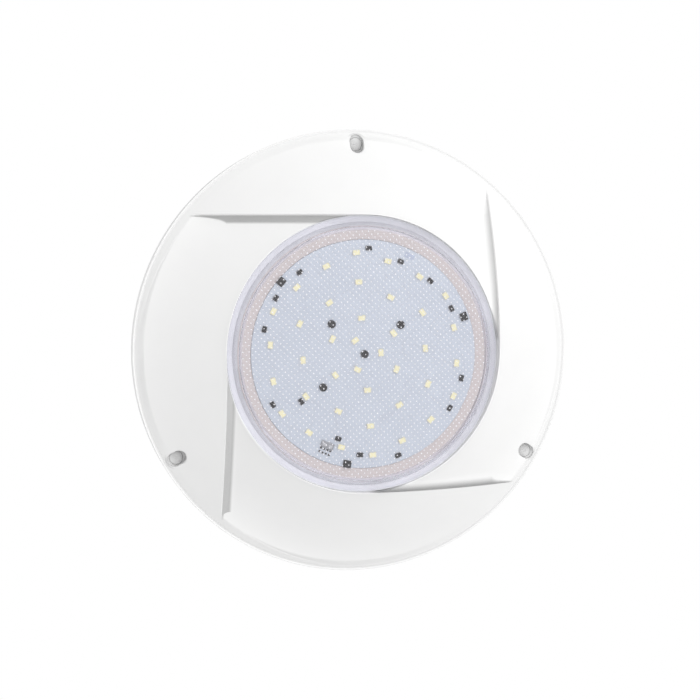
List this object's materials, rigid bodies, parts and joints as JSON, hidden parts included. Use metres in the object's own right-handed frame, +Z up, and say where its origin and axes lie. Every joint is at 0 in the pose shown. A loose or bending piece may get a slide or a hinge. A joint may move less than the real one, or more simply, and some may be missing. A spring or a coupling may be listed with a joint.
{
  "type": "underwater pool light",
  "caption": "Surface-mounted underwater pool light: domed white fascia with pinwheel relief round a flat sealed LED lamp, screwed to a wall bracket.",
  "frame": {"origin": "on the light's axis, in the plane of the pool wall (the back face of the wall bracket); the cable tail ends as far behind that plane as the window's crown stands in front of it, so this is also the box's centre", "axes": "+Z up, -Y out of the wall towards the viewer along the light's axis, +X to the viewer's right"},
  "size_m": [0.2898, 0.1, 0.2898],
  "materials": {
    "white_abs": "semi-gloss moulded white ABS",
    "bracket_abs": "matt moulded white ABS",
    "clear_polycarbonate": "clear moulded polycarbonate with a fine prismatic grid inside",
    "shell_polypropylene": "warm white moulded polypropylene",
    "board_white": "bluish-white solder mask",
    "silicone": "beige silicone",
    "epdm": "black moulded rubber",
    "aluminium": "milled",
    "black_screw": "black oxide steel",
    "stainless_steel": "stainless steel, bright",
    "brass": "turned brass",
    "gland_nylon": "grey moulded nylon",
    "cable_jacket": "blue rubber cable jacket",
    "core_brown": "brown wire insulation",
    "core_blue": "blue wire insulation"
  },
  "bodies": {
    "wall_side": {"wall_bracket": "bracket_abs", "thread_insert_1": "brass", "thread_insert_2": "brass", "thread_insert_3": "brass", "wall_screw_1": "stainless_steel", "wall_screw_2": "stainless_steel", "wall_screw_3": "stainless_steel", "wall_screw_4": "stainless_steel"},
    "front_unit": {"face_plate": "white_abs", "lamp_lens": "clear_polycarbonate", "lens_seal": "silicone", "lamp_gasket": "epdm", "lamp_shell": "shell_polypropylene", "led_board": "board_white", "heat_spreader": "aluminium", "board_screw_1": "black_screw", "board_screw_2": "black_screw", "board_screw_3": "black_screw", "board_screw_4": "black_screw", "clamp_ring": "bracket_abs", "clamp_screw_1": "stainless_steel", "clamp_screw_2": "stainless_steel", "clamp_screw_3": "stainless_steel", "clamp_screw_4": "stainless_steel", "gland_body": "gland_nylon", "gland_washer": "epdm", "gland_locknut": "gland_nylon", "gland_bush": "epdm", "gland_nut": "gland_nylon", "supply_cable": "cable_jacket", "cable_core_brown": "core_brown", "cable_core_blue": "core_blue"},
    "seal_carriage_1": {"screw_seal_1": "epdm"},
    "seal_carriage_2": {"screw_seal_2": "epdm"},
    "seal_carriage_3": {"screw_seal_3": "epdm"},
    "fixing_screw_1": {"face_screw_1": "stainless_steel"},
    "fixing_screw_2": {"face_screw_2": "stainless_steel"},
    "fixing_screw_3": {"face_screw_3": "stainless_steel"}
  },
  "joints": [
    {"name": "front_lift", "type": "slide", "parent": "wall_side", "child": "front_unit", "axis": [0, -1, 0], "range_m": [0, 0.07]},
    {"name": "screw_1_backout", "type": "slide", "parent": "front_unit", "child": "seal_carriage_1", "axis": [0, -1, 0], "range_m": [0, 0.0064]},
    {"name": "screw_1_turn", "type": "hinge", "parent": "seal_carriage_1", "child": "fixing_screw_1", "pos_m": [0, -0.012, 0.1354], "axis": [0, -1, 0], "range_deg": [0, 2880]},
    {"name": "screw_2_backout", "type": "slide", "parent": "front_unit", "child": "seal_carriage_2", "axis": [0, -1, 0], "range_m": [0, 0.0064]},
    {"name": "screw_2_turn", "type": "hinge", "parent": "seal_carriage_2", "child": "fixing_screw_2", "pos_m": [-0.11726, -0.012, -0.0677], "axis": [0, -1, 0], "range_deg": [0, 2880]},
    {"name": "screw_3_backout", "type": "slide", "parent": "front_unit", "child": "seal_carriage_3", "axis": [0, -1, 0], "range_m": [0, 0.0064]},
    {"name": "screw_3_turn", "type": "hinge", "parent": "seal_carriage_3", "child": "fixing_screw_3", "pos_m": [0.11726, -0.012, -0.0677], "axis": [0, -1, 0], "range_deg": [0, 2880]}
  ],
  "couplings": [
    {"joint": "screw_1_turn", "follows": "screw_1_backout", "rad_per_m": 7854},
    {"joint": "screw_2_turn", "follows": "screw_2_backout", "rad_per_m": 7854},
    {"joint": "screw_3_turn", "follows": "screw_3_backout", "rad_per_m": 7854}
  ]
}
